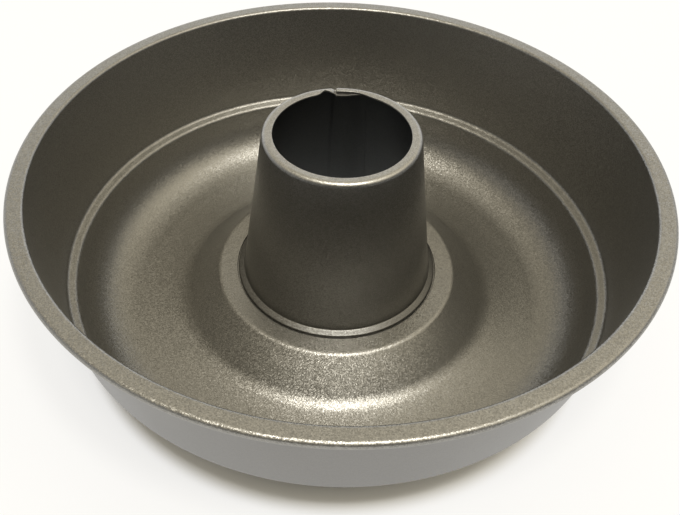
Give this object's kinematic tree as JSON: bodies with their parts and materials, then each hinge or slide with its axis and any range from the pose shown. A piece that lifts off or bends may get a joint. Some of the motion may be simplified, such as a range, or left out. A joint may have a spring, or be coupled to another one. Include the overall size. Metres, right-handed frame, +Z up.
{
  "type": "ring cake pan",
  "caption": "Round sheet-metal ring cake pan with a rolled rim, a ledge low in its wall, a rounded trough and a tapered centre tube that stands above the rim.",
  "frame": {"origin": "on the table, under the middle of the tube", "axes": "+Z up along the tube, -Y towards the viewer of the picture, +X to their right"},
  "size_m": [0.26, 0.26, 0.0878],
  "materials": {
    "pan_metal": "non-stick coating, brown-grey with fine metal flakes, half matt",
    "tube_metal": "non-stick coating, brown-grey with fine metal flakes, half matt, nearly black inside the tube"
  },
  "bodies": {
    "root": {"pan_body": "pan_metal", "centre_tube": "tube_metal"}
  },
  "joints": []
}
